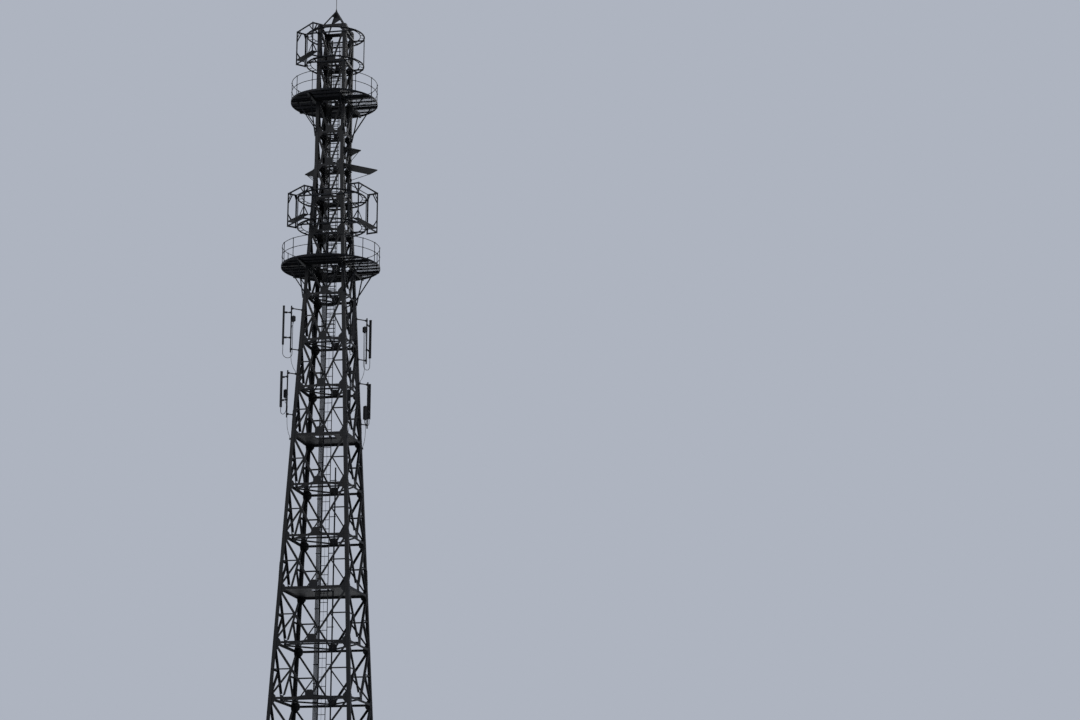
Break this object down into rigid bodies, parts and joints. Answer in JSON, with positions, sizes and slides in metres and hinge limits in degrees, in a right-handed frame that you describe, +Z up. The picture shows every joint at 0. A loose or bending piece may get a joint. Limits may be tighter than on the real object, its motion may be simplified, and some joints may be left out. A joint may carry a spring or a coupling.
{
  "type": "four-legged lattice cell tower, 1:2 scale model",
  "caption": "Tapering four-legged steel lattice tower with round service platforms, ring mounts, a ladder, feeder cables and panel antennas, as a half-size model.",
  "frame": {"origin": "on the ground in the middle between the four legs", "axes": "+Z up; X along the front face of the shaft, Y from the front face to the back face"},
  "size_m": [3.2, 3.2, 28.5703],
  "materials": {
    "painted": "weathered dark grey paint on hot-dip galvanised angles",
    "bracing": "weathered dark grey paint on galvanised bracing",
    "landing_plate": "dark painted chequer plate, scuffed",
    "base_steel": "dark painted plate, dusty near the ground",
    "ladder_steel": "dark paint worn on the rungs",
    "cable_jacket": "matt black polyethylene jacket",
    "conduit_steel": "dark painted steel tube",
    "platform_steel": "dark grey paint, rust-stained along the edges",
    "grating": "galvanised bar grating, dulled dark",
    "handrail_steel": "dark grey painted tube",
    "pipe_steel": "dark grey painted pipe",
    "cap_steel": "dark grey painted plate and bar",
    "rod_steel": "dulled stainless rod",
    "radome": "matt grey radome, weathered",
    "radio_housing": "matt grey cast housing"
  },
  "bodies": {
    "root": {"leg_front_left": "painted", "leg_front_right": "painted", "leg_back_right": "painted", "leg_back_left": "painted", "face_front_lower": "bracing", "face_right_lower": "bracing", "face_back_lower": "bracing", "face_left_lower": "bracing", "face_front_upper": "bracing", "face_right_upper": "bracing", "face_back_upper": "bracing", "face_left_upper": "bracing", "plan_bracing": "bracing", "landings": "landing_plate", "base_plates": "base_steel", "ladder": "ladder_steel", "ladder_beams": "ladder_steel", "feeder_cables": "cable_jacket", "jumper_cables": "cable_jacket", "power_conduit": "conduit_steel", "lower_platform_frame": "platform_steel", "lower_knee_braces": "platform_steel", "upper_platform_frame": "platform_steel", "upper_knee_braces": "platform_steel", "lower_platform_deck": "grating", "upper_platform_deck": "grating", "lower_handrail": "handrail_steel", "upper_handrail": "handrail_steel", "middle_ring_mount": "pipe_steel", "sector_frame_right": "pipe_steel", "sector_frame_left": "pipe_steel", "sector_frame_back": "pipe_steel", "top_ring_mount": "pipe_steel", "sector_frame_top": "pipe_steel", "antenna_poles": "pipe_steel", "cap_pyramid": "cap_steel", "side_arms": "cap_steel", "antenna_arms": "cap_steel", "lightning_rod": "rod_steel", "antenna_panels": "radome", "radio_units": "radio_housing"}
  },
  "joints": []
}
